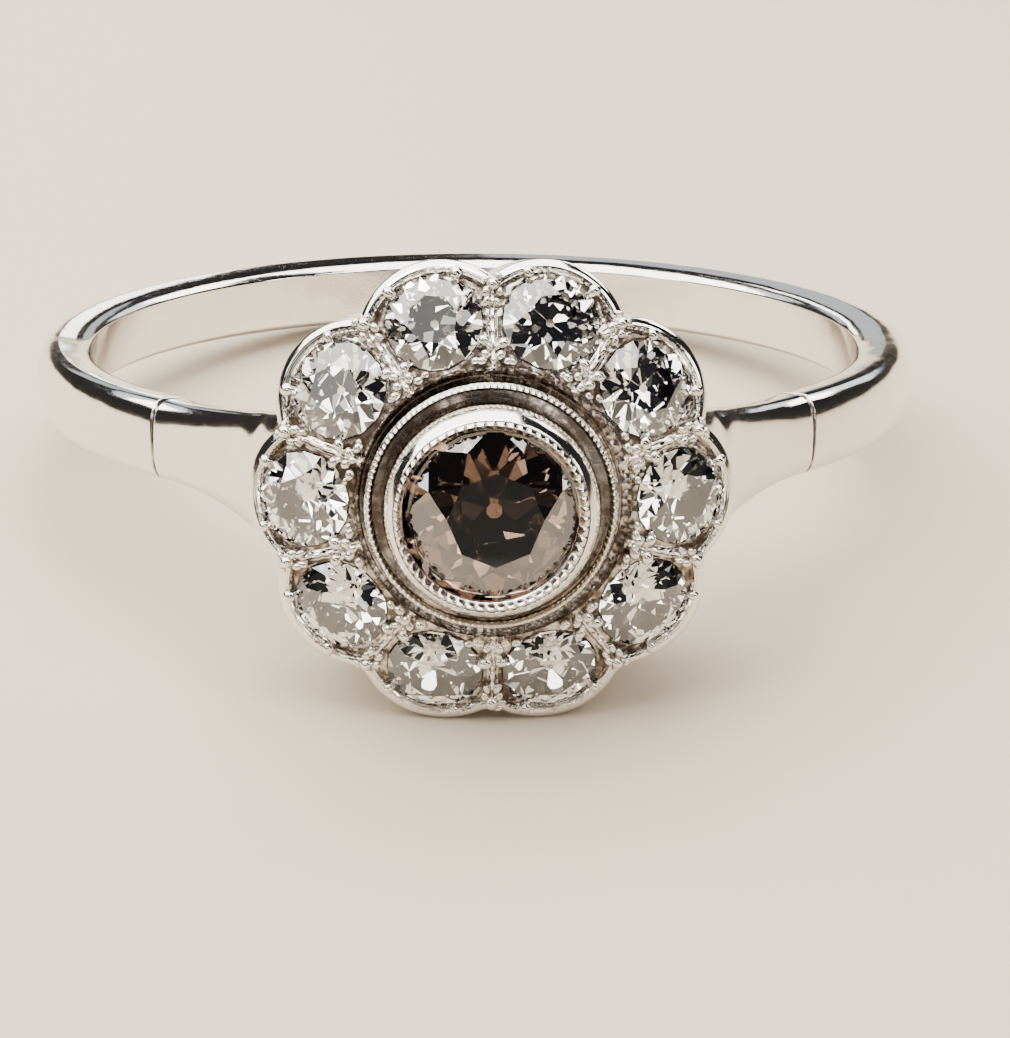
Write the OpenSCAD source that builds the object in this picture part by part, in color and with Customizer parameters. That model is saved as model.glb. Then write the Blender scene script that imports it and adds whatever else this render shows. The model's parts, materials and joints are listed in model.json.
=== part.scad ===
// Daisy cluster ring: a soldered mount, a dark centre stone in a collet and ten small stones in petals.
// It lies on its side on the surface z = 0, as it rests by itself: on two petals and the back of its shank.
// Ring frame: the finger hole runs along Z and the head stands towards -Y.
// Head frame: Z points out of the finger through the head, and Y is the ring frame's Z.

/* [Finger hole] */
// Inside diameter of the ring, which sets its size
finger_d = 18.1; // [15:0.1:21]

/* [Shank] */
// Width of the shank at its back, along the finger
shank_w = 1.78; // [1.6:0.02:2.2]
// Width of the shank at the engraved lines, where the shoulders begin
seam_band_w = 1.94; // [1.6:0.02:2.6]
// Thickness of the shank, from the finger to its outside
shank_t = 1.22; // [1:0.02:2]
// Share of the width that the shank's sides lose towards the finger, at the back
shank_taper = 0.15; // [0:0.01:0.5]
// Width of the shoulders where they end inside the head's wall
shoulder_w = 3.76; // [3:0.02:4.2]
// How much higher than the shank the shoulders stand where they end inside the head's wall
shoulder_rise = 2.1; // [1.5:0.1:2.3]
// Share of the width that the shoulders' sides lose towards the finger, at the head
shoulder_taper = 0.74; // [0.4:0.02:0.8]
// Angle from the middle of the head to the engraved line across each shoulder
seam_angle = 45.5; // [42:0.5:60]
// Width of the engraved line
seam_w = 0.13; // [0.08:0.01:0.2]
// Depth of the engraved line
seam_depth = 0.1; // [0.05:0.01:0.2]

/* [Head] */
// Width of the head across opposite petal tips
head_w = 10.28; // [10.1:0.02:10.6]
// Height of the petal tips above the finger
rim_height = 2.8; // [2.4:0.05:3.8]
// Radius of each petal's round end
petal_r = 1.82; // [1.74:0.02:1.9]
// Slope of the domed top that carries the small stones
dome_angle = 26; // [22:1:30]
// Width of the raised rim round the petals
rim_w = 0.2; // [0.14:0.01:0.22]
// Height of that rim above the bed of the small stones
rim_h = 0.16; // [0.12:0.01:0.24]
// Thickness of the plate under the small stones
plate_t = 0.62; // [0.5:0.02:0.8]
// Thickness of the scalloped wall of the head
wall_t = 0.48; // [0.35:0.01:0.6]
// Thickness of the ridges between the petals
ridge_t = 0.14; // [0.1:0.01:0.18]
// Gap between the back edge of the head and the finger
back_relief = 0.2; // [0.1:0.05:0.5]

/* [Small stones] */
// Diameter of each small stone
halo_stone_d = 2.04; // [1.9:0.02:2.06]
// Diameter of the circle through the middles of the small stones
halo_circle_d = 7.86; // [7.82:0.02:7.92]
// Radius of the grains that hold them
grain_r = 0.13; // [0.11:0.01:0.14]

/* [Centre setting] */
// Diameter of the ring at the foot of the collet, at its beaded crest
foot_ring_d = 5.2; // [5.1:0.02:5.24]
// Height of that crest above the petal tips
foot_ring_h = 1.27; // [1.2:0.01:1.4]
// Diameter of the collet below its bevel
collet_d = 4.52; // [4.48:0.02:4.56]
// Height of the collet's lip above the crest of the foot ring
collet_h = 0.85; // [0.75:0.05:1.1]
// Width of the lip that folds over the stone
lip_w = 0.1; // [0.08:0.01:0.12]
// Diameter of the centre stone
centre_stone_d = 3.84; // [3.76:0.02:3.88]

/* [Fits] */
// Gap between a stone and the metal round it
stone_gap = 0.03; // [0.02:0.005:0.04]

/* [Hidden] */
PETALS = 10;
$fn = 96;

// Angle between neighbouring petals
petal_step = 360 / PETALS;
// Radii of the finger hole and of the shank's outside
finger_r = finger_d / 2;
shank_r = finger_r + shank_t;

// The shank's section is a superellipse that reaches a little into the finger hole before the hole is cut
section_power = 2.6;
section_points = 16;
section_sink = 0.14;
// The shoulders widen from the engraved line to their end inside the head's wall
shoulder_end_angle = 22;
widen_power = 1.8;
rise_power = 2.2;
shoulder_steps = 10;
shank_steps = 16;

// The head: the petal tips' distance from the hole's axis, and the petals' middles' from the head's axis
rim_z = finger_r + rim_height;
petal_mid_r = head_w / 2 - petal_r;
// The petals' walls lean in towards the finger
wall_angle = 12;
petal_sides = 36;
// The head's metal is first made down to below the finger hole's wall, and then cut back
head_root = finger_r - 2;

// Proportions of an old cut: table, star tips, lower facets, culet, girdle, and its crown and pavilion angles
table_share = 0.52;
star_share = 0.78;
lower_share = 0.42;
culet_share = 0.09;
girdle_share = 0.025;
crown_angle = 31;
pavilion_angle = 39;
cut_sides = 8;

// The small stones' girdles lie on the bed
halo_r = halo_stone_d / 2;
halo_circle_r = halo_circle_d / 2;
halo_girdle_t = halo_stone_d * girdle_share;
halo_z = bed_z(halo_circle_r);
halo_seat_r = halo_r + stone_gap;
// Each seat narrows with the stone's back to the hole behind it
halo_seat_depth = 0.45;
halo_hole_r = halo_seat_r - halo_seat_depth / tan(pavilion_angle);
// Least metal round each seat in the petals' outline
seat_wall = 0.15;
// The grains stand beside the girdle, clear of it by the gap, and reach down into the bed
grain_rise = grain_r * 0.85;
grain_reach = halo_r + sqrt((grain_r + stone_gap) ^ 2 - (grain_rise - halo_girdle_t / 2) ^ 2);
grain_angles = [40, 128];
grain_root = 0.12;
seat_clear = 1;

// The collet and its foot
foot_r = foot_ring_d / 2;
foot_z = rim_z + foot_ring_h;
foot_half_w = 0.13;
foot_flare = 0.1;
moat_depth = 0.34;
moat_z = bed_z(foot_r + foot_half_w) - moat_depth;
moat_wall = 0.07;
moat_r = halo_circle_r - halo_seat_r * cos(dome_angle) - moat_wall;
groove_depth = 0.42;
collet_r = collet_d / 2;
lip_z = foot_z + collet_h;
lip_top_w = 0.2;
lip_bevel_h = 0.3;
lip_t = 0.16;
centre_r = centre_stone_d / 2;
opening_r = centre_r - lip_w;
centre_seat_r = centre_r + stone_gap;
centre_girdle_t = centre_stone_d * girdle_share;
// The crown passes under the lip with the gap between them
crown_bulge = 0.02;
centre_z = lip_z - lip_t - stone_gap / cos(crown_angle) - crown_bulge - lip_w * tan(crown_angle)
    - centre_girdle_t / 2;
centre_hole_r = 1.25;
centre_seat_depth = (centre_seat_r - centre_hole_r) * tan(pavilion_angle);
collar_z = centre_z - centre_r * tan(pavilion_angle);

// How the ring lies: its lean from the upright hole, by the lowest petals and the shank's back
section_dual = section_power / (section_power - 1);
shank_half_t = (shank_t + section_sink) / 2;
shank_mid_r = shank_r - shank_half_t;
low_angle = petal_step * floor(PETALS / 4);
low_x = petal_mid_r * cos(low_angle);
low_y = petal_mid_r * sin(low_angle) + petal_r;
low_z = dome_z(norm([low_x, low_y]));
lean = lean_angle(10, 8);
floor_z = low_z * sin(lean) - low_y * cos(lean);
front_y = -max(lip_z * cos(lean) + (opening_r + lip_top_w) * sin(lean),
    (centre_z + crown_height(centre_stone_d)) * cos(lean) + centre_r * table_share * sin(lean));
back_y = shank_mid_r * cos(lean) + back_support(90 - lean);

// Height of the dome above the hole's axis, at radius r from the head's axis
function dome_z(r) = rim_z + (head_w / 2 - r) * tan(dome_angle);
// Height of the bed of the small stones, lower than the dome by the rim
function bed_z(r) = dome_z(r) - rim_h;
// Height of a cut stone's table above the middle of its girdle
function crown_height(d) = d * girdle_share / 2 + d / 2 * (1 - table_share) * tan(crown_angle);
// How far the section of the shank's back reaches from its middle, at the angle a above the hole's plane
function back_support(a) = ((shank_half_t * abs(sin(a))) ^ section_dual
    + (shank_w / 2 * abs(cos(a))) ^ section_dual) ^ (1 / section_dual);
function lean_angle(a, n) = n == 0 ? a
    : lean_angle(asin((low_y * cos(a) - back_support(a)) / (low_z + shank_mid_r)), n - 1);

// The shank's outside, width and taper at the angle a from the middle of the head
function blend_share(a) = max(0, min(1, (seam_angle - a) / (seam_angle - shoulder_end_angle)));
function outer_r(a) = shank_r + shoulder_rise * blend_share(a) ^ rise_power;
function band_w(a) = shank_w + (seam_band_w - shank_w) * max(0, min(1, (90 - a) / (90 - seam_angle)));
function half_w(a) = (band_w(a) + (shoulder_w - band_w(a)) * blend_share(a) ^ widen_power) / 2;
function taper(a) = shank_taper + (shoulder_taper - shank_taper) * blend_share(a);
function signed_power(v) = sign(v) * abs(v) ^ (2 / section_power);
// Stations along one side, each an angle from the head and the depth of a cut
function side_stations() = let(e = asin(seam_w / 2 / shank_r)) concat(
    [for (i = [0:shoulder_steps])
        [shoulder_end_angle + (seam_angle - e - shoulder_end_angle) * i / shoulder_steps, 0]],
    [[seam_angle, seam_depth]],
    [for (i = [0:shank_steps - 1]) [seam_angle + e + (180 - seam_angle - e) * i / shank_steps, 0]]);
function mirrored(s) = [for (i = [len(s) - 1:-1:0]) [360 - s[i][0], s[i][1]]];
function section_ring(a, cut) = let(side = a > 180 ? 360 - a : a, out = outer_r(side),
    half_t = (out - finger_r + section_sink) / 2) [for (k = [0:section_points - 1]) let(
        u = 360 * k / section_points, p = signed_power(cos(u)), q = signed_power(sin(u)),
        r = out - half_t + p * (half_t - cut), z = q * (half_w(side) - cut) * (1 - taper(side) * (1 - p) / 2))
    [r * sin(a), -r * cos(a), z]];

// A closed skin over rings of points, with flat ends
module loft(rings) {
    m = len(rings[0]);
    n = len(rings);
    polyhedron(points = [for (ring = rings) each ring], faces = concat(
        [[for (k = [0:m - 1]) m - 1 - k]], [[for (k = [0:m - 1]) (n - 1) * m + k]],
        [for (i = [0:n - 2], k = [0:m - 1]) let(j = (k + 1) % m, a = i * m, b = a + m) each
            [[a + k, a + j, b + j], [a + k, b + j, b + k]]]));
}

// The shank with its two shoulders, in the ring frame
module shank() {
    side = side_stations();
    loft([for (s = concat(side, [[180, 0]], mirrored(side))) section_ring(s[0], s[1])]);
}

// Carries the head frame into the ring frame
module on_finger() {
    rotate([90, 0, 0]) children();
}

// Lays the ring frame down as the ring rests, with the middle of its bottom at the origin
module lay_down() {
    translate([0, -(front_y + back_y) / 2, -floor_z]) rotate([-lean, 0, 0]) children();
}

// Copies for every petal
module each_petal() {
    for (i = [0:PETALS - 1]) rotate([0, 0, i * petal_step]) children();
}

// The place of a small stone: its own frame has its girdle at z = 0 and its table upwards
module at_seat() {
    translate([halo_circle_r, 0, halo_z]) rotate([0, dome_angle, 0]) children();
}

// The outline of the petals at the height of their tips, round their seats too, and smaller by inset
module petal_outline(inset) {
    circle(r = petal_mid_r);
    each_petal() {
        translate([petal_mid_r, 0]) circle(r = petal_r - inset);
        translate([halo_circle_r, 0]) circle(r = halo_seat_r + seat_wall - inset);
    }
}

// The petals' walls as one block that narrows towards the finger
module flower(inset) {
    high = head_w * tan(dome_angle) / 2;
    low = rim_z - head_root;
    root_scale = 1 - low * tan(wall_angle) * 2 / head_w;
    top_scale = 1 + high * tan(wall_angle) * 2 / head_w;
    translate([0, 0, head_root]) linear_extrude(height = low + high, scale = top_scale / root_scale)
        scale(root_scale) petal_outline(inset, $fn = petal_sides);
}

// Everything under the dome, lowered by drop
module under_dome(drop) {
    top_r = 1;
    wide_r = head_w / 2 + (rim_z - drop - head_root) / tan(dome_angle);
    translate([0, 0, head_root]) cylinder(h = dome_z(top_r) - drop - head_root, r1 = wide_r, r2 = top_r);
}

// The petals' floors, sunk below their rims and between the ridges
module beds() {
    difference() {
        translate([0, 0, head_root]) linear_extrude(height = dome_z(0) - head_root) difference() {
            petal_outline(rim_w);
            for (i = [0:PETALS - 1]) rotate([0, 0, (i + 0.5) * petal_step])
                translate([0, -ridge_t / 2]) square([head_w / 2, ridge_t]);
        }
        under_dome(rim_h);
    }
}

// The round opening for the centre setting, with the moat round it
module centre_clearing() {
    rotate_extrude() polygon([[0, head_root], [foot_r, head_root], [foot_r, moat_z], [moat_r, moat_z],
        [moat_r, dome_z(0)], [0, dome_z(0)]]);
}

// The hollow behind the plate that carries the stones
module hollow() {
    intersection() {
        flower(wall_t);
        under_dome(rim_h + plate_t);
    }
}

// One small stone's seat: its shelf, its cone and the hole behind it
module seat() {
    shelf = -halo_girdle_t / 2 - stone_gap;
    cone_end = shelf - halo_seat_depth;
    rotate_extrude() polygon([[0, cone_end - plate_t], [halo_hole_r, cone_end - plate_t],
        [halo_hole_r, cone_end], [halo_seat_r, shelf], [halo_seat_r, seat_clear], [0, seat_clear]]);
}

// The grains round one small stone
module grains() {
    for (a = grain_angles, side = [-1, 1]) rotate([0, 0, side * a]) translate([grain_reach, 0, 0]) {
        translate([0, 0, grain_rise]) sphere(r = grain_r);
        translate([0, 0, -grain_root]) cylinder(h = grain_rise + grain_root, r = grain_r);
    }
}

// The collet with its lip, the groove and the foot ring round it, and the seat inside, as one turned profile
module centre_setting() {
    groove_z = foot_z - groove_depth;
    under_lip_z = centre_z + centre_girdle_t / 2 + stone_gap;
    cone_z = centre_z - centre_girdle_t / 2 - stone_gap;
    rotate_extrude() polygon([
        [centre_hole_r, collar_z], [collet_r, collar_z],
        [foot_r + foot_half_w + foot_flare, moat_z - moat_depth],
        [foot_r + foot_half_w + foot_flare, moat_z], [foot_r + foot_half_w, foot_z - foot_half_w],
        [foot_r + foot_half_w / 2, foot_z], [foot_r - foot_half_w / 2, foot_z],
        [foot_r - foot_half_w, foot_z - foot_half_w], [foot_r - foot_half_w, groove_z], [collet_r, groove_z],
        [collet_r, lip_z - lip_bevel_h], [opening_r + lip_top_w, lip_z], [opening_r, lip_z],
        [opening_r, lip_z - lip_t], [centre_seat_r, under_lip_z], [centre_seat_r, cone_z],
        [centre_hole_r, cone_z - centre_seat_depth]]);
}

// The head's own metal with its hollow back
module head_metal() {
    difference() {
        intersection() {
            flower(0);
            under_dome(0);
        }
        beds();
        centre_clearing();
        hollow();
        rotate([-90, 0, 0]) cylinder(h = 2 * head_w, r = finger_r + back_relief, center = true);
        each_petal() at_seat() seat();
    }
}

// The round space inside the head where the shoulders end, at the middle of its wall
module shoulder_stop() {
    high = dome_z(0);
    function stop_r(z) = head_w / 2 - wall_t / 2 - (rim_z - z) * tan(wall_angle);
    translate([0, 0, head_root]) cylinder(h = high - head_root, r1 = stop_r(head_root), r2 = stop_r(high));
}

// The shank without the finger hole, ending in the head's wall
module open_shank() {
    difference() {
        shank();
        cylinder(h = 2 * head_w, r = finger_r, center = true);
        on_finger() shoulder_stop();
    }
}

module mount() {
    color("#d9d4cc") lay_down() {
        open_shank();
        on_finger() {
            head_metal();
            each_petal() at_seat() grains();
            centre_setting();
        }
    }
}

// Points and facets of an old cut of diameter d, with the middle of its girdle at z = 0
module old_cut(d) {
    r = d / 2;
    g = d * girdle_share / 2;
    n = cut_sides;
    turn = 180 / n;
    near = cos(turn);
    function ring(share, z, start, count) = [for (k = [0:count - 1]) let(a = start + 360 * k / count)
        [r * share * cos(a), r * share * sin(a), z]];
    points = concat(
        ring(table_share, g + r * (1 - table_share) * tan(crown_angle), 0, n),
        ring(star_share, g + r * (1 - star_share * near) * tan(crown_angle), turn, n),
        ring(1, g, 0, 2 * n),
        ring(1, -g, 0, 2 * n),
        ring(lower_share, -g - r * (1 - lower_share * near) * tan(pavilion_angle), turn, n),
        ring(culet_share, -g - r * (1 - culet_share * near) * tan(pavilion_angle), turn, n));
    star = n;
    upper = 2 * n;
    lower = 4 * n;
    deep = 6 * n;
    culet = 7 * n;
    polyhedron(points = points, faces = concat(
        [[for (k = [0:n - 1]) n - 1 - k]],
        [[for (k = [0:n - 1]) culet + k]],
        [for (k = [0:n - 1]) let(j = (k + 1) % n, h = (k + n - 1) % n,
            a = 2 * k, b = a + 1, c = (a + 2) % (2 * n)) each [
            [k, j, star + k],
            [k, star + k, upper + a, star + h],
            [star + k, upper + b, upper + a],
            [star + k, upper + c, upper + b],
            [upper + a, upper + b, lower + b, lower + a],
            [upper + b, upper + c, lower + c, lower + b],
            [deep + k, lower + a, lower + b],
            [deep + k, lower + b, lower + c],
            [lower + a, deep + k, culet + k, culet + h, deep + h]]]));
}

module centre_stone() {
    color("#2a201c") lay_down() on_finger() translate([0, 0, centre_z]) old_cut(centre_stone_d);
}

module halo_stone(i) {
    color("#e9e6e0") lay_down() on_finger()
        rotate([0, 0, (i - 1) * petal_step]) at_seat() old_cut(halo_stone_d);
}

mount();
centre_stone();
for (i = [1:PETALS])
    halo_stone(i);
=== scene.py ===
# %% [markdown]
# # A daisy cluster ring
# The ring has one soldered mount of white metal, a dark stone in a raised collet, and ten small stones that
# sit in ten scalloped petals. It lies on its side on a pale surface. The CAD model is loaded first and stays
# as it is: it fixes every size. The stones are shown as the CAD cut them. The mount is built again below, as
# smooth surfaces with the fine relief that a goldsmith's tools leave, in exactly the same place.

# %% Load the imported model
import json
import math
import bmesh
import bpy
import numpy as np
from mathutils import Matrix, Vector


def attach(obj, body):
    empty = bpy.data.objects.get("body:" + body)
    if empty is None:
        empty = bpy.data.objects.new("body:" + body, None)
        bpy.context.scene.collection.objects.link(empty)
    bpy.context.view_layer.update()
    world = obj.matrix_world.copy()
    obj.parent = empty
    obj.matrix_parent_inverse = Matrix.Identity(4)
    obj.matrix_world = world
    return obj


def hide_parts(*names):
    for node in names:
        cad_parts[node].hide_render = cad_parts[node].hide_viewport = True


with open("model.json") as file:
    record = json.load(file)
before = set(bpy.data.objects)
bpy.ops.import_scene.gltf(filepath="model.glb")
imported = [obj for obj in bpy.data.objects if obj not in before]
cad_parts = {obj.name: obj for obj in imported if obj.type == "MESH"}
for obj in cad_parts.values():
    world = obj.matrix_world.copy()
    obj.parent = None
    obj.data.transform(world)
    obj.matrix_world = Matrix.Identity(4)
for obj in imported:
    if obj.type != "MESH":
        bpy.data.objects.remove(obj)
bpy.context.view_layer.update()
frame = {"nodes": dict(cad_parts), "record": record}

print("nodes", sorted(frame["nodes"]))

# %% [markdown]
# ## Two frames to draw in
# It is easier to draw a ring that stands straight than one that leans. The ring frame has the finger hole
# along Z and the head towards -Y. The head frame looks at the flower: its Z comes out of the finger. Both are
# in millimetres. The record says where the finger hole is and how it leans, so the way back is read from it.

# %% From the drawing frames to the row's frame
hole = next(m for m in frame["record"]["mounts"] if m["name"] == "finger_hole")
LEAN = math.atan2(hole["axis"][1], hole["axis"][2])
HOOP_CENTRE = np.array(hole["pos_m"])
MM = 0.001


def lay_down(points):
    """Ring frame in mm to the row's frame in metres: a turn by the lean about X, then a move."""
    x, y, z = np.moveaxis(np.asarray(points, float), -1, 0)
    c, s = math.cos(LEAN), math.sin(LEAN)
    return np.stack([x, y * c + z * s, z * c - y * s], -1) * MM + HOOP_CENTRE


def on_finger(points):
    """Head frame to ring frame: (x, y, z) becomes (x, -z, y)."""
    x, y, z = np.moveaxis(np.asarray(points, float), -1, 0)
    return np.stack([x, -z, y], -1)


print("the hole leans", round(math.degrees(LEAN), 2), "degrees")

# %% [markdown]
# ## From grids of points to a piece
# Every new surface is a grid: a function of two parameters, worked out for all its points at once. A piece
# is several grids whose edges share points. Merging those points closes the seams, and then the normals are
# turned outwards. A third value goes with each point: how deep it lies in a crevice, from 0 to 1. The metal's
# colour reads it and darkens there, partly for old polish and dust and partly as painted shade.

# %% Grid helpers
WELD_M, SPECK_M = 1e-6, 1e-8


def grid_faces(rows, cols, close_rows, close_cols, start):
    """Corners of each cell of a rows x cols grid. Point (i, j) has the number start + i cols + j, and
    its cell runs to i + 1 and j + 1, which wrap round to 0 where the grid closes."""
    i, j = np.meshgrid(np.arange(rows - (not close_rows)), np.arange(cols - (not close_cols)),
                       indexing="ij")
    i2, j2 = (i + 1) % rows, (j + 1) % cols
    corners = np.stack([i * cols + j, i * cols + j2, i2 * cols + j2, i2 * cols + j], -1)
    return start + corners.reshape(-1, 4)


def ease(x):
    """A smooth step from 0 to 1: 3x^2 - 2x^3."""
    x = np.clip(x, 0, 1)
    return x * x * (3 - 2 * x)


class Piece:
    """Collects grids and makes one object from them."""

    def __init__(self, name):
        self.name, self.points, self.faces, self.depths, self.count = name, [], [], [], 0

    def add(self, points, depth=0.0, close_rows=False, close_cols=False):
        """Adds a grid of points, shape (rows, cols, 3), in the row's frame."""
        rows, cols = points.shape[:2]
        self.faces.append(grid_faces(rows, cols, close_rows, close_cols, self.count))
        self.points.append(points.reshape(-1, 3))
        self.depths.append(np.broadcast_to(depth, (rows, cols)).reshape(-1).astype(np.float32))
        self.count += rows * cols

    def make(self, material, sharp):
        """Merges shared points, turns the faces outwards and puts the piece on the root body. Edges
        that turn by more than sharp degrees stay sharp."""
        points, faces = np.concatenate(self.points), np.concatenate(self.faces)
        mesh = bpy.data.meshes.new(self.name)
        mesh.from_pydata(points.tolist(), [], faces.tolist())
        crevice = mesh.attributes.new("crevice", "FLOAT", "POINT")
        crevice.data.foreach_set("value", np.concatenate(self.depths))
        bm = bmesh.new()
        bm.from_mesh(mesh)
        bmesh.ops.remove_doubles(bm, verts=bm.verts, dist=WELD_M)
        bmesh.ops.dissolve_degenerate(bm, edges=bm.edges, dist=SPECK_M)
        bmesh.ops.recalc_face_normals(bm, faces=bm.faces)
        open_edges = sum(len(e.link_faces) != 2 for e in bm.edges)
        bm.to_mesh(mesh)
        bm.free()
        mesh.shade_smooth()
        mesh.set_sharp_from_angle(angle=math.radians(sharp))
        mesh.materials.append(material)
        obj = bpy.data.objects.new(self.name, mesh)
        bpy.context.scene.collection.objects.link(obj)
        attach(obj, "root")
        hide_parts("mount")
        triangles = sum(len(p.vertices) - 2 for p in mesh.polygons)
        print(self.name, triangles, "triangles,", open_edges, "open edges")


print("a piece welds points closer than", WELD_M * 1000, "mm")

# %% [markdown]
# ## The sizes of the mount
# These are the sizes of the CAD model again, in millimetres, because the source itself isn't here. R is a
# radius and Z a height above the finger's axis. The stones themselves come with the CAD, so only the circle
# that they stand on and the room that they need are here.

# %% Sizes
PETALS = 10
STEP = 2 * math.pi / PETALS
FINGER_R, SHANK_R = 9.05, 10.27
RIM_Z, HEAD_R, PETAL_R, PETAL_MID_R = 11.85, 5.14, 1.82, 3.32
DOME, WALL_LEAN = math.radians(26), math.radians(12)
RIM_H, PLATE_T, WALL_T, BACK_RELIEF = 0.16, 0.62, 0.48, 0.2
STONE_CIRCLE_R, STONE_R, SEAT_R, SEAT_HOLE_R = 3.93, 1.02, 1.045, 0.494
MOAT_R, MOAT_Z, FOOT_R, FOOT_Z = 2.916, 12.525, 2.6, 13.12
COLLET_R, LIP_Z, OPENING_R = 2.26, 13.97, 1.82


def dome_z(r):
    """Height of the flower's cone above the finger's axis, at radius r."""
    return RIM_Z + (HEAD_R - r) * math.tan(DOME)


STONE_Z = dome_z(STONE_CIRCLE_R) - RIM_H
print("small stones' girdles at", round(STONE_Z, 3), "mm")

# %% [markdown]
# ## Shader maths as sums
# A procedural finish is a chain of small sums on textures. Written as node links they are hard to read, so a
# small class wraps a socket, and plus, minus, times and divide on it add the Math nodes.

# %% A wire that can be added and multiplied
class Wire:
    """A value socket that makes Math nodes when it is used in an expression."""

    def __init__(self, nodes, socket):
        self.nodes, self.socket = nodes, socket

    def _math(self, operation, a, b):
        return self.nodes.node("ShaderNodeMath", {"operation": operation}, a, b)

    def __add__(self, other): return self._math("ADD", self, other)
    def __radd__(self, other): return self._math("ADD", other, self)
    def __sub__(self, other): return self._math("SUBTRACT", self, other)
    def __rsub__(self, other): return self._math("SUBTRACT", other, self)
    def __mul__(self, other): return self._math("MULTIPLY", self, other)
    def __rmul__(self, other): return self._math("MULTIPLY", other, self)
    def __truediv__(self, other): return self._math("DIVIDE", self, other)

    def clamp(self):
        """Kept between 0 and 1."""
        return self._math("MINIMUM", self._math("MAXIMUM", self, 0.0), 1.0)

    def between(self, low, high):
        """0 below low, 1 above high, a straight line between."""
        return ((self - low) / (high - low)).clamp()


class Nodes:
    """The nodes of a material or of the room, with the shader that they feed."""

    def __init__(self, tree, shader):
        self.tree, self.shader = tree, tree.nodes[shader]

    def node(self, kind, settings, *values, out=0, **named):
        """Makes a node, applies its settings, and then its inputs' values or links."""
        made = self.tree.nodes.new(kind)
        for key, value in settings.items():
            if key == "stops":
                for element, (place, colour) in zip(made.color_ramp.elements, value):
                    element.position, element.color = place, (*colour, 1)
            else:
                setattr(made, key, value)
        for key, value in [*enumerate(values), *named.items()]:
            if isinstance(value, Wire):
                self.tree.links.new(value.socket, made.inputs[key])
            else:
                made.inputs[key].default_value = value
        return Wire(self, made.outputs[out])

    def feed(self, socket, wire):
        """Links a wire to a socket of the shader."""
        self.tree.links.new(wire.socket, self.shader.inputs[socket])


print("wires and nodes ready")

# %% A finish
class Finish(Nodes):
    """A material with one Principled shader, whose constants are set straight on its sockets."""

    def __init__(self, name, **constants):
        self.material = bpy.data.materials.new(name)
        self.material.use_nodes = True
        super().__init__(self.material.node_tree, "Principled BSDF")
        for socket, value in constants.items():
            self.shader.inputs[socket.replace("_", " ")].default_value = value

    def place(self, stretch=(1, 1, 1)):
        """Object coordinates in millimetres, times a stretch along each axis."""
        where = self.node("ShaderNodeTexCoord", {}, out="Object")
        return self.node("ShaderNodeMapping", {}, where, Scale=[s / MM for s in stretch])

    def noise(self, where, size, detail=2.0):
        """Noise whose blots are about size mm across."""
        return self.node("ShaderNodeTexNoise", {}, where, Scale=1 / size, Detail=detail)

    def mix(self, share, a, b):
        """A colour between a and b, which are colours or wires."""
        made = self.tree.nodes.new("ShaderNodeMix")
        made.data_type = "RGBA"
        for key, value in ((0, share), (6, a), (7, b)):
            if isinstance(value, Wire):
                self.tree.links.new(value.socket, made.inputs[key])
            else:
                made.inputs[key].default_value = value if key == 0 else (*value, 1)
        return Wire(self, made.outputs[2])

    def bump(self, height, depth_mm):
        """Feeds a bump from a height of 0 to 1 that stands for depth_mm."""
        self.feed("Normal", self.node("ShaderNodeBump", {}, Distance=depth_mm * MM, Height=height))


print("finishes ready")

# %% [markdown]
# ## White metal
# The mount is white gold or platinum that has been worn and polished for a century. It mirrors the room, so
# most of its look is reflection. What the surface itself brings is fine: hair scratches from wear, a soft
# waviness from hand polishing, and a darker colour in the crevices, which is partly dirt where no cloth
# reaches and partly painted shade. Clean metal and that dark colour are two colours, and the crevice value,
# broken up by two sizes of noise, mixes them. The petals' beds are chiselled as well, so they get a second
# finish with small cuts and a browner, darker colour of dirt and painted shade.

# %% The metal's finish
CLEAN, CLEAN_GREYER = (0.92, 0.875, 0.815), (0.87, 0.835, 0.785)
CLOUD_MM, FINE_MM, WAVE_MM, RELIEF_MM = 0.9, 0.16, 1.3, 0.036
PATCHY = 2.4


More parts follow.
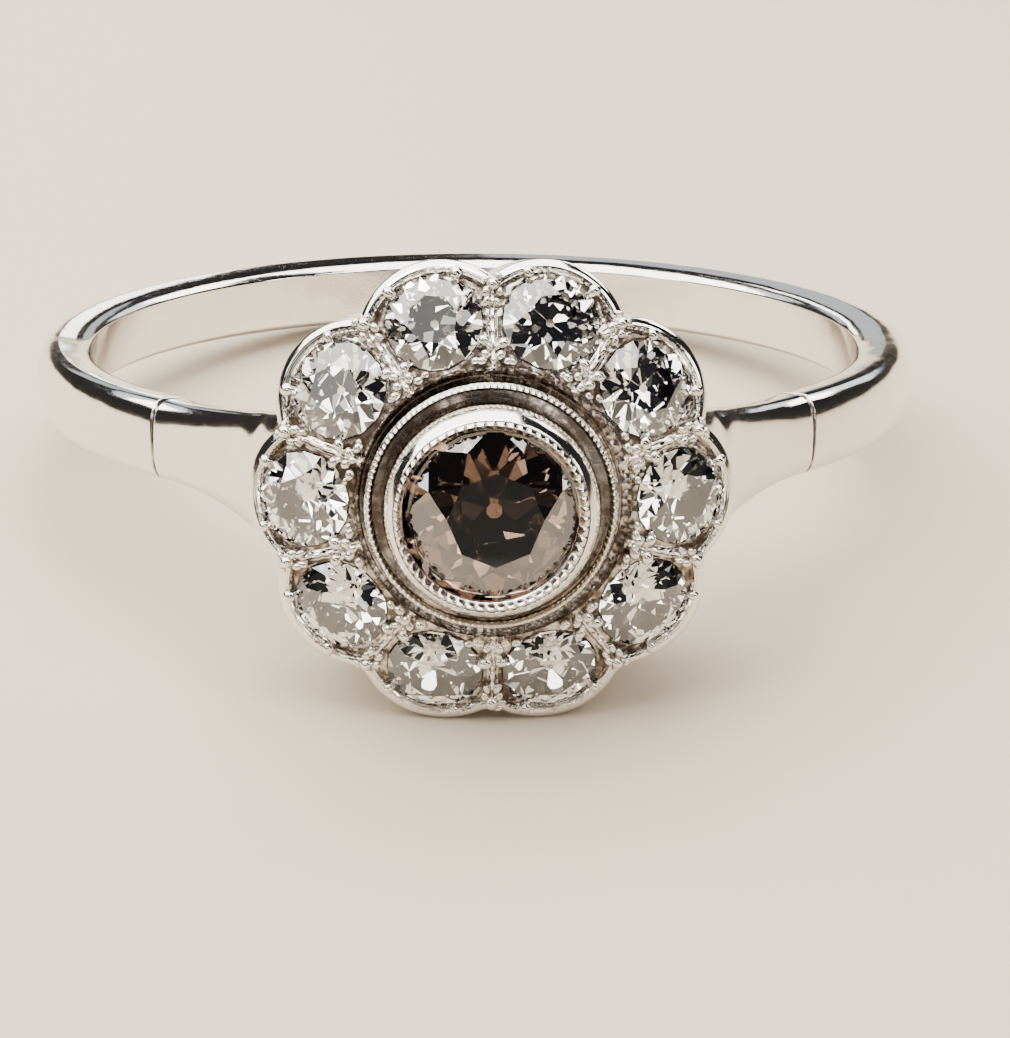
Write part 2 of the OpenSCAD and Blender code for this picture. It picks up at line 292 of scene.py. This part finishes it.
def white_metal(name, grime_and_shade, dirt_and_deep_shade, darkening=1.0, cut_mm=0.0):
    """Polished metal with hair scratches, and a darker colour in its crevices, partly dirt and partly painted
    shade, that grows with the darkening: one tone, and a darker one in the deepest. Its beds have chisel cuts
    of a size, if that isn't 0."""
    finish = Finish(name, Metallic=1.0)
    where = finish.place()
    crevice = finish.node("ShaderNodeAttribute", {"attribute_name": "crevice"}, out="Fac")
    cloud = finish.noise(where, CLOUD_MM, 3.0)
    fine = finish.noise(where, FINE_MM, 3.0)
    # Dirt and painted shade: the crevice value, scaled and broken up by noise, darkens the clean colour
    film_and_shade = (crevice * darkening * (1.0 + (cloud - 0.5) * PATCHY + (fine - 0.5) * PATCHY)).clamp()
    soiled_and_shaded = finish.mix(crevice.between(0.75, 1.0), grime_and_shade, dirt_and_deep_shade)
    clean = finish.mix(cloud.between(0.35, 0.7), CLEAN, CLEAN_GREYER)
    finish.feed("Base Color", finish.mix(film_and_shade, clean, soiled_and_shaded))
    # Noise that is squeezed along two axes and drawn out along the third gives hairs
    along_x = finish.noise(finish.place((0.25, 6.0, 5.0)), 0.12)
    along_y = finish.noise(finish.place((5.0, 0.4, 6.5)), 0.15)
    hairs = along_x.between(0.6, 0.72) + along_y.between(0.62, 0.74)
    finish.feed("Roughness", (0.06 + hairs * 0.05 + cloud * 0.05 + film_and_shade * 0.2).clamp())
    wave = finish.noise(where, WAVE_MM, 1.0)
    height = wave * 0.7 + hairs * 0.01 + fine * 0.02
    if cut_mm:
        cuts = finish.node("ShaderNodeTexVoronoi", {"feature": "F1"}, where, Scale=1 / cut_mm)
        height = height + cuts * crevice * 0.9
    finish.bump(height, RELIEF_MM)
    return finish.material


# Each finish's two crevice colours stand for dirt and painted shade alike
METAL = white_metal("white_metal", grime_and_shade=(0.22, 0.178, 0.145), dirt_and_deep_shade=(0.05, 0.034, 0.024))
CHISELLED = white_metal("white_metal_chiselled", grime_and_shade=(0.15, 0.112, 0.086),
                        dirt_and_deep_shade=(0.04, 0.027, 0.02), darkening=1.15, cut_mm=0.17)
print("made", METAL.name, "and", CHISELLED.name)

# %% [markdown]
# ## The shank and its shoulders
# A goldsmith bends a shank from bar, files it to an oval and lets it widen where it meets the head. Here it
# is one section carried round the finger. The section is a superellipse, and every size of it is a function
# of the angle from the head, so the shoulders can flare without a seam. An engraved line closes each
# shoulder. It bites deeper at the top corner, where the graver starts, and a faint fold pinches the metal
# just before the head.

# %% The shank's section at an angle from the head
SEAM_ANGLE, SHOULDER_END = 45.5, 22.0
SHANK_W, WIDER_AT_SEAM, SHOULDER_W, SHOULDER_RISE = 1.78, 0.16, 3.76, 2.1
SECTION_POWER, SECTION_SINK = 2 / 3, 0.14
FOLD_ANGLE, FOLD_D, FOLD_W = 25.3, 0.06, 0.22


def groove(off, q):
    """Depth of the engraved line at off mm from its middle: a V, d (1 - off / w), whose depth d and
    half width w both ease up over the top quarter of the section."""
    corner = ease((q - 0.75) / 0.25)
    return (0.07 + 0.08 * corner) * np.clip(1 - off / (0.055 + 0.04 * corner), 0, 1)


def shank_surface(angles, turns):
    """Grid over angles from the head and turns round the section. p points outwards and q along
    the finger: each is the signed 2/3 power of a cosine or a sine. Inside, r stops at the hole."""
    power = lambda v: np.sign(v) * np.abs(v) ** SECTION_POWER
    p, q = power(np.cos(turns))[None], power(np.sin(turns))[None]
    side = np.where(angles > 180, 360 - angles, angles)[:, None]
    blend = np.clip((SEAM_ANGLE - side) / (SEAM_ANGLE - SHOULDER_END), 0, 1)
    outside = SHANK_R + SHOULDER_RISE * blend ** 2.2
    width = SHANK_W + WIDER_AT_SEAM * np.clip((90 - side) / (90 - SEAM_ANGLE), 0, 1)
    half_w = (width + (SHOULDER_W - width) * blend ** 1.8) / 2
    taper = 0.15 + 0.59 * blend
    cut = groove(np.abs(side - SEAM_ANGLE) * math.radians(1) * SHANK_R, q)
    half_t = (outside - FINGER_R + SECTION_SINK) / 2
    fold = FOLD_D * np.exp(-((side - FOLD_ANGLE) * math.radians(1) * SHANK_R / FOLD_W) ** 2)
    r = np.maximum(outside - half_t + p * (half_t - cut - fold), FINGER_R)
    z = q * (half_w - cut) * (1 - taper * (1 - p) / 2)
    a = np.radians(angles)[:, None]
    # The second value marks the engraved line, which the metal's colour darkens as dirt and painted shade
    return np.stack([r * np.sin(a), -r * np.cos(a), z], -1), np.clip(cut / 0.03, 0, 1)


print("an engraved line is", groove(0, np.array([0.0, 1.0])), "mm deep, halfway and at its top")

# %% Shank
TURNS = 96
NEAR_SEAM = 0.9  # degrees on each side of the engraved line, where the rows stand closer
side_angles = np.unique(np.concatenate([
    np.linspace(SHOULDER_END, SEAM_ANGLE - NEAR_SEAM, 60),
    SEAM_ANGLE + np.linspace(-NEAR_SEAM, NEAR_SEAM, 19),
    np.linspace(SEAM_ANGLE + NEAR_SEAM, 180, 170)]).round(6))
all_angles = np.concatenate([side_angles, 360 - side_angles[-2::-1]])
turns = np.linspace(0, 2 * math.pi, TURNS + 1)[:-1]
points, depth = shank_surface(all_angles, turns)
shank = Piece("shank")
shank.add(lay_down(points), depth, close_cols=True)
for end in (0, -1):
    middle = np.broadcast_to(points[end].mean(0), points[end].shape)
    shank.add(lay_down(np.stack([points[end], middle])), close_cols=True)
shank.make(METAL, sharp=50)

# %% [markdown]
# ## The flower: petals' walls, rims, ridges and seats in one skin
# The head is drawn petal by petal. From the middle of each stone, rays run out to the petal's edge, to the
# ridges that part it from its neighbours and to the moat round the centre. Along every ray the height comes
# from plain distances: how far the point is from the outline, and how far from the ridge. So rim and ridge
# meet by themselves at each notch, and the grid is finest where the relief is.

# %% The edge of one petal, seen from the front
MOAT_N, RIDGE_N, ARC_N = 36, 28, 64
HALF = STEP / 2


def polar(r, a):
    """(r cos a, r sin a)."""
    return np.stack([r * np.cos(a), r * np.sin(a)], -1)


def notch_radius(petal_r):
    """Where the circles of two petals cross: m cos h + sqrt(R^2 - m^2 sin^2 h), h half a step."""
    across = PETAL_MID_R * math.sin(HALF)
    return PETAL_MID_R * math.cos(HALF) + math.sqrt(petal_r ** 2 - across ** 2)


def petal_edge(moat_r, petal_r):
    """Points round one petal: the moat's arc, a ridge, the outer arc and the other ridge."""
    notch = notch_radius(petal_r)
    reach = math.atan2(notch * math.sin(HALF), notch * math.cos(HALF) - PETAL_MID_R)
    moat = polar(moat_r, np.linspace(HALF, -HALF, MOAT_N, endpoint=False))
    out = polar(np.linspace(moat_r, notch, RIDGE_N, endpoint=False), -HALF)
    arc = polar(petal_r, np.linspace(-reach, reach, ARC_N, endpoint=False)) + [PETAL_MID_R, 0]
    back = polar(np.linspace(notch, moat_r, RIDGE_N, endpoint=False), HALF)
    return np.concatenate([moat, out, arc, back])


ARC = slice(MOAT_N + RIDGE_N, MOAT_N + RIDGE_N + ARC_N + 1)
MOAT = slice(0, MOAT_N + 1)
EDGE = petal_edge(MOAT_R, PETAL_R)
print(len(EDGE), "rays in each petal, notch at", round(notch_radius(PETAL_R), 3), "mm")

# %% The height of the stone field at any point of a petal
# Distance inwards from the outline, and height: a rounded rim, a thin thread inside it, and the bed
RIM_RELIEF = np.array([
    [-1, .04], [0, .05], [.015, .095], [.045, .135], [.085, .158], [.13, .165], [.165, .155],
    [.182, .115], [.195, .11], [.208, .13], [.222, .128], [.29, .01], [.3, -.05], [.33, -.055],
    [.36, -.03], [3, -.03]])
# Distance from the middle of the ridge, and height
RIDGE_RELIEF = np.array([[0, .145], [.02, .14], [.04, .12], [.1, .0], [.13, -.03], [3, -.03]])
NICK_PITCH, NICK_D, BED_BLEND = 0.27, 0.45, 0.16


def seat_point(rho, phi, lift):
    """A point in a stone's own frame, lifted along its axis, in the petal's frame."""
    x, y, lift = np.broadcast_arrays(rho * np.cos(phi), rho * np.sin(phi), lift)
    c, s = math.cos(DOME), math.sin(DOME)
    return np.stack([STONE_CIRCLE_R + x * c + lift * s, y, STONE_Z - x * s + lift * c], -1)


def field_z(xy):
    """Base plus relief, and how deep that lies in a crevice. The base is flat round the stone and
    eases into the flower's cone. The relief is the higher of the rim's profile, over the distance to
    the outline, and the ridge's, over that to the ridge, where nicks follow a squared cosine."""
    x, y = xy[..., 0], xy[..., 1]
    r = np.hypot(x, y)
    to_rim = PETAL_R - np.hypot(x - PETAL_MID_R, y)
    to_ridge = np.abs(x * math.sin(HALF) - np.abs(y) * math.cos(HALF))
    flat = STONE_Z - (x - STONE_CIRCLE_R) * math.tan(DOME)
    cone = dome_z(r) - RIM_H
    rho = np.hypot((x - STONE_CIRCLE_R) / math.cos(DOME), y)
    blend = ease((rho - SEAT_R) / BED_BLEND)
    rim = np.interp(to_rim, *RIM_RELIEF.T)
    ridge = np.interp(to_ridge, *RIDGE_RELIEF.T)
    nicks = 1 - NICK_D * (0.5 + 0.5 * np.cos(2 * math.pi * r / NICK_PITCH)) ** 2
    relief = np.maximum(rim, np.where(ridge > 0, ridge * nicks, ridge))
    # The second value grows where the relief is low: the finish darkens those hollows as dirt and painted
    # shade
    return flat + (cone - flat) * blend + relief, np.clip((0.02 - relief) / 0.07, 0, 1)


def plate_z(points):
    """Height of the plate's underside, which follows the flower's cone."""
    return dome_z(np.hypot(points[..., 0], points[..., 1])) - RIM_H - PLATE_T


def turned(points, k):
    """Petal k's points: the first petal's, turned about the head's axis."""
    c, s = math.cos(k * STEP), math.sin(k * STEP)
    x, y, z = np.moveaxis(points, -1, 0)
    return np.stack([x * c - y * s, x * s + y * c, z], -1)


print("height of a ridge", field_z(polar(4.0, HALF))[0].round(3), "mm")

# %% The petals' walls
WALL_ROWS, FIRST_GUESS_Z, ROUNDS = 9, 8.4, 8


def wall_scale(z):
    """The walls lean in towards the finger: 1 + (z - rim) tan(lean) / R."""
    return 1 + (z - RIM_Z) * math.tan(WALL_LEAN) / HEAD_R


def finger_cut_z(x):
    """Height of the wall's lower edge over a point x: z = sqrt(R^2 - (x scale(z))^2), where R is
    the finger and a little relief. The scale depends on z, so a few rounds settle it."""
    z = np.full_like(x, FIRST_GUESS_Z)
    for _ in range(ROUNDS):
        z = np.sqrt((FINGER_R + BACK_RELIEF) ** 2 - (x * wall_scale(z)) ** 2)
    return z


def wall(line):
    """From a line of points down to the finger's curve, shrinking with the lean of the wall."""
    top_scale = wall_scale(line[:, 2])
    low = finger_cut_z(line[:, 0] / top_scale)
    z = line[:, 2] + (low - line[:, 2]) * np.linspace(0, 1, WALL_ROWS)[:, None]
    plan = line[:, :2] * (wall_scale(z) / top_scale)[..., None]
    return np.concatenate([plan, z[..., None]], -1)


print("the walls end", finger_cut_z(np.array([0.0, 4.0])).round(2), "mm up, at 0 and 4 mm out")

# %% The petal's skins
FIELD_ROWS, UNDER_ROWS, EDGE_ROWS, CROWDING = 40, 5, 4, 1.3
# Radius and height from the girdle: the seat's shelf, its step and the cone down to the hole
SEAT_PROFILE = [(0.985, -0.055), (0.975, -0.07), (0.75, -0.26), (SEAT_HOLE_R, -0.5)]
HOLE_END = -0.62
# Radius and height of the moat's wall and floor, and how deep each of its rows lies in a crevice
MOAT_PROFILE = [(MOAT_R - 0.03, 12.83), (MOAT_R - 0.05, MOAT_Z), (FOOT_R, MOAT_Z)]
MOAT_DEPTHS = np.array([.1, .3, .7, .7, .5])[:, None]
ALL_ROUND, PART = True, False


def moat_wall(line, below):
    """From the stone field's inner edge down the moat's wall, across its floor, to the underside."""
    ring = lambda r, z: np.column_stack([line[:, :2] * (r / MOAT_R), np.full(len(line), z)])
    return np.stack([line, *[ring(r, z) for r, z in MOAT_PROFILE], below])


def petal_skins():
    """The grids of one petal, each with its crevice value and whether it runs all round the stone:
    top, seat, underside, outer wall, inner wall, lower edge and moat."""
    phi = np.arctan2(EDGE[:, 1], (EDGE[:, 0] - STONE_CIRCLE_R) / math.cos(DOME))
    start = seat_point(SEAT_R, phi, 0.0)[:, :2]
    # The rows crowd towards the edge, where the rim is: t = 1 - (1 - s)^crowding
    t = 1 - (1 - np.linspace(0, 1, FIELD_ROWS)[:, None, None]) ** CROWDING
    plan = start + (EDGE - start) * t
    z, depth = field_z(plan)
    top = np.concatenate([plan, z[..., None]], -1)
    hole = seat_point(SEAT_HOLE_R, phi, HOLE_END)
    hole[:, 2] = plate_z(hole)
    seat = np.stack([top[0], *[seat_point(rho, phi, lift) for rho, lift in SEAT_PROFILE], hole])
    inner = petal_edge(FOOT_R, PETAL_R - WALL_T)
    below = hole[:, :2] + (inner - hole[:, :2]) * np.linspace(0, 1, UNDER_ROWS)[:, None, None]
    under = np.concatenate([below, plate_z(below)[..., None]], -1)
    outer_wall, inner_wall = wall(top[-1, ARC]), wall(under[-1, ARC])
    across = np.linspace(0, 1, EDGE_ROWS)[:, None, None]
    lower_edge = outer_wall[-1] + (inner_wall[-1] - outer_wall[-1]) * across
    # Their crevice values darken the seat most, then the moat and the hidden faces: dirt and painted shade
    return [(top, depth, ALL_ROUND), (seat, 0.8, ALL_ROUND), (under, 0.2, ALL_ROUND),
            (outer_wall, 0.0, PART), (inner_wall, 0.2, PART), (lower_edge, 0.1, PART),
            (moat_wall(top[-1, MOAT], under[-1, MOAT]), MOAT_DEPTHS, PART)]


skins = petal_skins()
print("skins of a petal, in rows and rays:", [grid.shape[:2] for grid, _, _ in skins])

# %% Gallery
gallery = Piece("gallery")
for k in range(PETALS):
    for grid, depth, all_round in skins:
        gallery.add(lay_down(on_finger(turned(grid, k))), depth, close_cols=all_round)
gallery.make(CHISELLED, sharp=32)

# %% [markdown]
# ## Grains
# Each small stone is held by grains: curls of metal raised from the field with a graver and rounded with a
# beading tool. Four main ones stand round a stone. Smaller ones crowd the corners at both ends of each ridge,
# some drawn out into claws that reach for the girdle. No two are quite alike, so a seeded draw varies them.

# %% A grain
HAND = np.random.default_rng(11)
GRAIN_R, GRAIN_RISE, GRAIN_STRETCH, GRAIN_OFF, ROOT = 0.13, 0.08, 1.2, 0.11, 0.12


def bead(middle, radius, rise, stretch, yaw, around, up):
    """A dome on a short post, in a stone's frame: round its foot's middle, the ring at h has radius
    R cos h and height rise + R sin h. It is drawn out by a stretch along yaw."""
    a = np.linspace(0, 2 * math.pi, around + 1)[:-1][None]
    h = np.linspace(0, math.pi / 2, up)[:, None]
    rho = np.concatenate([[[radius]], radius * np.cos(h)])
    lift = np.concatenate([[[-ROOT]], rise + radius * np.sin(h)])
    along, across = stretch * rho * np.cos(a), rho * np.sin(a)
    x = middle[0] + along * math.cos(yaw) - across * math.sin(yaw)
    y = middle[1] + along * math.sin(yaw) + across * math.cos(yaw)
    return seat_point(np.hypot(x, y), np.arctan2(y, x), lift)


def add_grain(piece, petal, grid):
    """Puts a grain on a petal and closes its foot; both darken towards the foot as old polish and painted
    shade.
    """
    depth = 0.6 * np.linspace(1, 0, len(grid))[:, None] ** 2
    piece.add(lay_down(on_finger(turned(grid, petal))), depth, close_cols=True)
    foot = np.stack([grid[0], np.broadcast_to(grid[0].mean(0), grid[0].shape)])
    piece.add(lay_down(on_finger(turned(foot, petal))), 1.0, close_cols=True)


print("a grain is", 2 * GRAIN_R, "mm across")

# %% Grains round the stones
grains = Piece("grains")
reach = STONE_R + GRAIN_OFF
for k in range(PETALS):
    for degrees in (40, -40, 128, -128):
        a = math.radians(degrees + HAND.uniform(-4, 4))
        radius = GRAIN_R * HAND.uniform(0.85, 1.1)
        middle = (reach * math.cos(a), reach * math.sin(a))
        add_grain(grains, k, bead(middle, radius, GRAIN_RISE, GRAIN_STRETCH, a, around=12, up=5))
grains.make(METAL, sharp=60)

# %% Grains and claws in the corners of the ridges
# How far out on the ridge, how far beside it, radius, rise, stretch and turn from the ridge in degrees
CORNER_GRAINS = [
    (4.5, 0.0, .145, .1, 1.1, 0), (4.34, .13, .095, .07, 1.3, 20), (4.18, .1, .07, .05, 1.8, 25),
    (4.62, .12, .075, .06, 1.4, 70), (3.34, .1, .07, .06, 1.8, -35), (3.15, .13, .1, .06, 1.2, -50),
    (3.02, .27, .085, .05, 1.4, 80), (3.06, 0.0, .09, .08, 1.2, 0), (3.03, .42, .07, .04, 1.5, 75)]
corner_grains = Piece("corner_grains")
for k in range(PETALS):
    for side in (1, -1):
        for out, beside, radius, rise, stretch, degrees in CORNER_GRAINS:
            if beside == 0 and side < 0:
                continue  # One that stands on the ridge is there once
            out, beside = out + HAND.uniform(-.03, .03), beside * HAND.uniform(0.85, 1.2)
            x = out * math.cos(HALF) + beside * math.sin(HALF)
            y = side * (out * math.sin(HALF) - beside * math.cos(HALF))
            middle = ((x - STONE_CIRCLE_R) / math.cos(DOME), y)
            yaw = side * (HALF + math.radians(degrees + HAND.uniform(-12, 12)))
            radius *= HAND.uniform(0.85, 1.15)
            add_grain(corner_grains, k, bead(middle, radius, rise, stretch, yaw, around=10, up=4))
corner_grains.make(METAL, sharp=60)

# %% [markdown]
# ## Foot ring and collet
# The collet that holds the dark stone stands in a ring of its own. Both have a crest of millegrain: a row of
# tiny beads rolled with a knurled wheel. A turned profile gives the body, and the crest's rows rise and fall
# round the ring. Eight points to a bead are enough for the foot ring, and the collet's larger beads get
# twelve. On the real ring neither stands quite in the middle, so both are moved a little to the left.

# %% A turned ring with a beaded crest
RING_SHIFT = -0.05


def beads(turns, count):
    """Round bumps from 0 to 1: the height of a half circle over each bead's width."""
    share = (turns * count / (2 * math.pi)) % 1
    return np.sqrt(np.clip(1 - (2 * share - 1) ** 2, 0, 1))


def make_ring(name, profile, count, points_to_a_bead, sharp, opening_shift=0.0):
    """Carries a closed profile round the head's axis: (r cos t, r sin t, z + crest * bead). Each row
    of the profile is r, z, the crest's height and the crevice value. opening_shift moves the collet's
    inner rows further to the side, by nothing at its outside and all of it at its opening."""
    turns = np.linspace(0, 2 * math.pi, count * points_to_a_bead + 1)[:-1]
    r, z, crest, crevice = np.array(profile).T[:, :, None]
    inwards = np.clip((COLLET_R - r) / (COLLET_R - OPENING_R), 0, 1)
    x = r * np.cos(turns) + opening_shift * inwards + RING_SHIFT
    grid = np.stack([x, r * np.sin(turns), z + crest * beads(turns, count)], -1)
    ring = Piece(name)
    # The crevice column darkens the metal's colour, as dirt and painted shade
    ring.add(lay_down(on_finger(grid)), crevice, close_rows=True, close_cols=True)
    ring.make(METAL, sharp)


print("the rings stand", -RING_SHIFT, "mm left of the middle")

# %% Foot ring
FOOT_PROFILE = [
    (2.77, MOAT_Z - 0.3, 0, .7), (2.77, MOAT_Z, 0, .7), (2.74, MOAT_Z + 0.06, 0, .4),
    (2.67, MOAT_Z + 0.3, 0, .1), (2.65, FOOT_Z - 0.08, 0, 0), (2.635, FOOT_Z - 0.03, 0, .1),
    (2.62, FOOT_Z - 0.02, .01, .5), (2.605, FOOT_Z, .05, .1), (2.565, FOOT_Z + 0.015, .08, 0),
    (2.525, FOOT_Z, .05, .1), (2.51, FOOT_Z - 0.02, .01, .5), (2.49, FOOT_Z - 0.03, 0, .2),
    (2.475, FOOT_Z - 0.08, 0, .1), (2.47, FOOT_Z - 0.3, 0, .6), (2.47, FOOT_Z - 0.6, 0, .8)]
make_ring("foot_ring", FOOT_PROFILE, count=116, points_to_a_bead=8, sharp=50)

# %% Collet
COLLAR_Z, UNDER_LIP, CONE_Z, HOLE_R = 12.092, 13.727, 13.568, 1.25
COLLET_PROFILE = [
    (HOLE_R, COLLAR_Z, 0, .5), (COLLET_R, COLLAR_Z, 0, .5), (2.72, 12.2, 0, .5),
    (2.72, FOOT_Z - 0.42, 0, .8), (2.3, FOOT_Z - 0.42, 0, .8), (2.3, 12.95, 0, .4),
    (2.285, 13.2, 0, .1), (2.265, 13.42, 0, 0), (2.235, 13.6, 0, 0), (2.185, 13.75, 0, 0),
    (2.115, 13.87, 0, 0), (2.06, LIP_Z - 0.045, 0, 0), (2.045, LIP_Z - 0.035, 0, .1),
    (2.03, LIP_Z - 0.055, .01, .6), (2.0, LIP_Z - 0.05, .06, .1), (1.955, LIP_Z - 0.04, .085, 0),
    (1.91, LIP_Z - 0.05, .06, .1), (1.88, LIP_Z - 0.07, .01, .6), (1.845, LIP_Z - 0.08, 0, .1),
    (OPENING_R, LIP_Z - 0.11, 0, .1), (OPENING_R, LIP_Z - 0.18, 0, .3), (1.95, UNDER_LIP, 0, .8),
    (1.95, CONE_Z, 0, 1), (HOLE_R, 13.0, 0, 1)]
make_ring("collet", COLLET_PROFILE, count=58, points_to_a_bead=12, sharp=45, opening_shift=-0.05)

# %% [markdown]
# ## Stones
# The stones keep the CAD's flat facets. A diamond bends light strongly, so the finish is clear and very
# dense, with a little tint. The centre stone is dark brown. Its sparkle is the room, folded up by the
# facets, and so the lights below matter as much as the tint.

# %% The stones' finish
DIAMOND_IOR = 2.42


def diamond(name, tint):
    """Clear stone: light that isn't mirrored goes through, tinted where it enters and leaves."""
    return Finish(name, Base_Color=(*tint, 1), Transmission_Weight=1.0, Roughness=0.0,
                  IOR=DIAMOND_IOR).material


CLEAR = diamond("clear_diamond", (0.97, 0.96, 0.94))
DARK = diamond("dark_diamond", (0.17, 0.105, 0.075))
for name, obj in frame["nodes"].items():
    if name != "mount":
        obj.data.materials.clear()
        obj.data.materials.append(DARK if name == "centre_stone" else CLEAR)
print("stones dressed:", len(frame["nodes"]) - 1)

# %% [markdown]
# ## The surface
# The ring lies on a pale surface, which the shank mirrors as cream. The dark stone's table faces the camera
# and mirrors the surface about 7 cm in front of the ring. That would veil it, so the surface's colour turns
# dark there, a painted shade, in front of what the camera sees.

# %% Floor
FLOOR_REACH_M = 0.6
PALE, SHADED = (0.56, 0.485, 0.38), (0.03, 0.028, 0.025)
SHADE_END, SHADE_START = -70, -42

floor_mesh = bpy.data.meshes.new("floor")
quarters = ((-1, -1), (1, -1), (1, 1), (-1, 1))
corners = [(x * FLOOR_REACH_M, y * FLOOR_REACH_M, 0) for x, y in quarters]
floor_mesh.from_pydata(corners, [], [(0, 1, 2, 3)])
floor = bpy.data.objects.new("floor", floor_mesh)
bpy.context.scene.collection.objects.link(floor)
floor_finish = Finish("pale_surface", Roughness=0.6)
depth_mm = floor_finish.node("ShaderNodeSeparateXYZ", {}, floor_finish.place(), out="Y")
shade = depth_mm.between(SHADE_END, SHADE_START)
floor_finish.feed("Base Color", floor_finish.mix(shade, SHADED, PALE))
floor_mesh.materials.append(floor_finish.material)
print("the surface is shaded beyond", -SHADE_START, "mm in front of the ring")

# %% [markdown]
# ## Light
# Metal and stones show what stands round them, so each light is a card placed for its reflection, as in a
# photographer's light tent. A wide window overhead lights the surface and the upper edges. Boxes at the back
# draw the cool light along the hoop's rear edge, and two small cards close behind the ring its bright spot on
# the left and a cool strip on the right. The small boxes in front put the sparks into the stones, and the
# table cards give the dark stone its few lit facets. Between them the room stays dark, which gives the
# polished edges their black lines.

# %% A soft box
WARM, SKY = (1, 0.955, 0.89), (0.86, 0.93, 1)


def soft_box(name, azimuth, elevation, distance, width, height, brightness, colour=WARM):
    """A rectangular light that faces the ring, in metres. Azimuth 0 is in front and 90 on the right.
    Its power is brightness x pi x area, so a bigger box of the same brightness mirrors as bright."""
    light = bpy.data.lights.new(name, "AREA")
    light.shape, light.size, light.size_y, light.color = "RECTANGLE", width, height, colour
    light.energy = brightness * math.pi * width * height
    a, e = math.radians(azimuth), math.radians(elevation)
    direction = (math.sin(a) * math.cos(e), -math.cos(a) * math.cos(e), math.sin(e))
    obj = bpy.data.objects.new(name, light)
    obj.location = distance * Vector(direction)
    obj.rotation_euler = (-obj.location).to_track_quat("-Z", "Y").to_euler()
    bpy.context.scene.collection.objects.link(obj)
    return obj


print("a box of 40 x 40 mm at brightness 9 has", round(9 * math.pi * 0.04 ** 2, 3), "W")

# %% Lights
window = soft_box("overhead_window", 0, 90, 0.11, 0.23, 0.19, 7)
window.location = (-0.07, 0.03, 0.11)
window.rotation_euler = (0, 0, 0)
soft_box("back_right", 140, 36, 0.22, 0.12, 0.07, 8)
soft_box("back_left", -140, 36, 0.22, 0.12, 0.08, 1.3, SKY)
soft_box("sky_right", 148, 21, 0.2, 0.075, 0.06, 1.8, SKY)
soft_box("sky_behind", -166, 15, 0.2, 0.05, 0.04, 0.8, SKY)
soft_box("card_behind", -173.5, 15, 0.104, 0.01, 0.046, 5)
soft_box("card_right", 173.4, 9.3, 0.102, 0.017, 0.027, 0.8, SKY)
soft_box("front_left", -46, 57, 0.2, 0.055, 0.06, 10)
soft_box("front_right", 50, 47, 0.2, 0.05, 0.08, 9)
soft_box("low_left", -70, 24, 0.2, 0.04, 0.04, 9, SKY)
soft_box("low_right", 66, 20, 0.2, 0.04, 0.04, 9)
soft_box("front_high", -2, 66, 0.2, 0.05, 0.03, 9)
soft_box("front_low", -16, 26, 0.2, 0.04, 0.03, 9)
soft_box("table_card_left", -46, 22, 0.2, 0.06, 0.05, 1.7)
soft_box("table_card_top", -20, 47, 0.2, 0.05, 0.05, 1.1)
soft_box("table_card_right", 15, 12, 0.2, 0.05, 0.035, 5)
print("lights:", len(bpy.data.lights))

# %% Room
ROOM_STOPS = [(0.0, (0.045, 0.04, 0.035)), (0.5, (0.018, 0.018, 0.022))]
world = bpy.data.worlds.new("room")
bpy.context.scene.world = world
world.use_nodes = True
room = Nodes(world.node_tree, "Background")
direction = room.node("ShaderNodeTexCoord", {}, out="Generated")
height = room.node("ShaderNodeSeparateXYZ", {}, direction, out="Z")
room.feed("Color", room.node("ShaderNodeValToRGB", {"stops": ROOM_STOPS}, height))
print("the room is dark, and darkest above")

# %% [markdown]
# ## Camera
# The picture was taken from a little above the ring's plane. How much smaller the back of the hoop looks than
# the front gives the distance, 10 cm, and the ring's size in the picture then gives the lens. The camera is
# placed in the ring frame and looks at the hoop's centre. Then it turns a little, so that the centre falls on
# its place in the picture, which isn't the middle.

# %% Camera
ELEVATION, AZIMUTH, DISTANCE = math.radians(12.7), math.radians(-1.8), 100.0
FRAME_W, FRAME_H, HOOP_X, HOOP_Y, FOCAL_PX = 1010, 1038, 474, 368, 4210.0
SENSOR_MM = 36


def camera_axes(forward, up_hint):
    """Right and up of a camera that looks forward: right = forward x hint, up = right x forward."""
    right = forward.cross(up_hint).normalized()
    return right, right.cross(forward)


flat = math.cos(ELEVATION)
to_camera = np.array([math.sin(AZIMUTH) * flat, -math.cos(AZIMUTH) * flat, math.sin(ELEVATION)])
eye = Vector(lay_down(to_camera * DISTANCE))
centre = Vector(HOOP_CENTRE)
look = (centre - eye).normalized()
right, up = camera_axes(look, Vector(lay_down(np.array([0, 0, 1.0]))) - centre)
aim = look * FOCAL_PX + right * (FRAME_W / 2 - HOOP_X) - up * (FRAME_H / 2 - HOOP_Y)
aim.normalize()
right, up = camera_axes(aim, up)
camera_data = bpy.data.cameras.new("camera")
camera_data.sensor_width = SENSOR_MM
camera_data.lens = FOCAL_PX * SENSOR_MM / FRAME_H
camera_data.clip_start, camera_data.clip_end = 0.005, 10
camera = bpy.data.objects.new("camera", camera_data)
camera.matrix_world = Matrix.Translation(eye) @ Matrix((right, up, -aim)).transposed().to_4x4()
bpy.context.scene.collection.objects.link(camera)
bpy.context.scene.camera = camera
print("lens", round(camera_data.lens, 1), "mm,", round(eye.z * 1000, 1), "mm above the surface")
